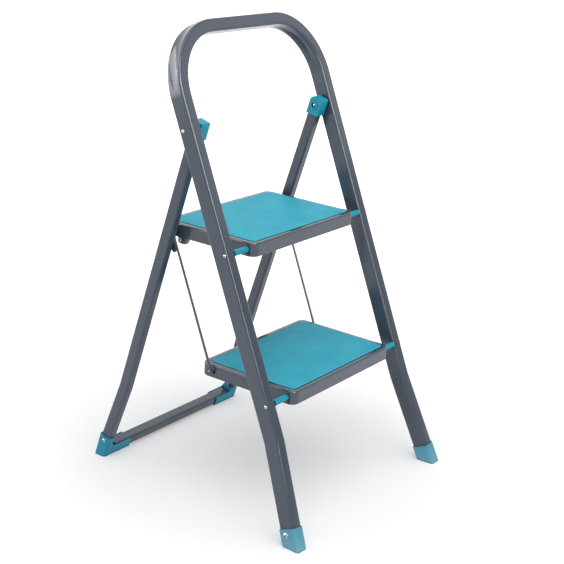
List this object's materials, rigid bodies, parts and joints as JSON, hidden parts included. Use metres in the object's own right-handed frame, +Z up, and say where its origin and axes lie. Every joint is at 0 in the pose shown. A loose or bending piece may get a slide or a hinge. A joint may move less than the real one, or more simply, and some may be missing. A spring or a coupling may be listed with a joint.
{
  "type": "folding step stool",
  "caption": "Folding two-tread step stool with a hoop handrail, forward-folding rear frame, link rods, rubber mats and plastic feet.",
  "frame": {"origin": "centre of the footprint on the floor, open", "axes": "+Z up, +X across the width, -Y to the front where the user climbs, +Y to the rear frame"},
  "size_m": [0.4516, 0.4856, 0.7935],
  "materials": {
    "slate_paint": "satin",
    "teal_plastic": "satin",
    "teal_rubber": "matte",
    "zinc": "satin",
    "dark_steel": "satin"
  },
  "bodies": {
    "front": {"front_frame": "slate_paint", "front_foot_left": "teal_plastic", "front_foot_right": "teal_plastic", "front_foot_screws": "zinc", "hinge_pins": "zinc", "upper_axle": "zinc", "lower_axle": "zinc", "upper_sleeve_left": "teal_plastic", "upper_sleeve_right": "teal_plastic", "lower_sleeve_left": "teal_plastic", "lower_sleeve_right": "teal_plastic"},
    "rear": {"rear_leg_left": "slate_paint", "rear_leg_right": "slate_paint", "rear_crossbar": "slate_paint", "rear_shoe_left": "teal_plastic", "rear_shoe_right": "teal_plastic", "rear_shoe_screws": "zinc", "rear_shoe_nuts": "zinc", "crossbar_rivets": "zinc", "hinge_cap_left": "teal_plastic", "hinge_cap_right": "teal_plastic", "hook_left": "dark_steel", "hook_right": "dark_steel", "hook_rivets": "dark_steel"},
    "upper_tread": {"upper_pan": "slate_paint", "upper_mat": "teal_rubber", "upper_stiffener": "dark_steel", "tie_rod": "zinc", "tie_lugs": "zinc", "link_stud_left": "zinc", "link_stud_right": "zinc"},
    "lower_tread": {"lower_pan": "slate_paint", "lower_mat": "teal_rubber", "lower_stiffener": "dark_steel"},
    "link_left": {"link_rod_left": "zinc", "link_clip_left": "dark_steel"},
    "link_right": {"link_rod_right": "zinc", "link_clip_right": "dark_steel"}
  },
  "joints": [
    {"name": "rear_fold", "type": "hinge", "parent": "front", "child": "rear", "pos_m": [0, 0.04685, 0.63072], "axis": [-1, 0, 0], "range_deg": [0, 39]},
    {"name": "upper_tread_fold", "type": "hinge", "parent": "front", "child": "upper_tread", "pos_m": [0, -0.04791, 0.4471], "axis": [1, 0, 0], "range_deg": [0, 64.9]},
    {"name": "lower_tread_fold", "type": "hinge", "parent": "front", "child": "lower_tread", "pos_m": [0, -0.14459, 0.2171], "axis": [1, 0, 0], "range_deg": [0, 64.9]},
    {"name": "link_left_swing", "type": "hinge", "parent": "upper_tread", "child": "link_left", "pos_m": [-0.1523, 0.10479, 0.4452], "axis": [-1, 0, 0], "range_deg": [0, 64.9]},
    {"name": "link_right_swing", "type": "hinge", "parent": "upper_tread", "child": "link_right", "pos_m": [0.1523, 0.10479, 0.4452], "axis": [-1, 0, 0], "range_deg": [0, 64.9]}
  ],
  "couplings": [
    {"joint": "upper_tread_fold", "follows": "rear_fold", "ratio": 1.6615},
    {"joint": "lower_tread_fold", "follows": "rear_fold", "ratio": 1.6615},
    {"joint": "link_left_swing", "follows": "rear_fold", "ratio": 1.6615},
    {"joint": "link_right_swing", "follows": "rear_fold", "ratio": 1.6615}
  ]
}
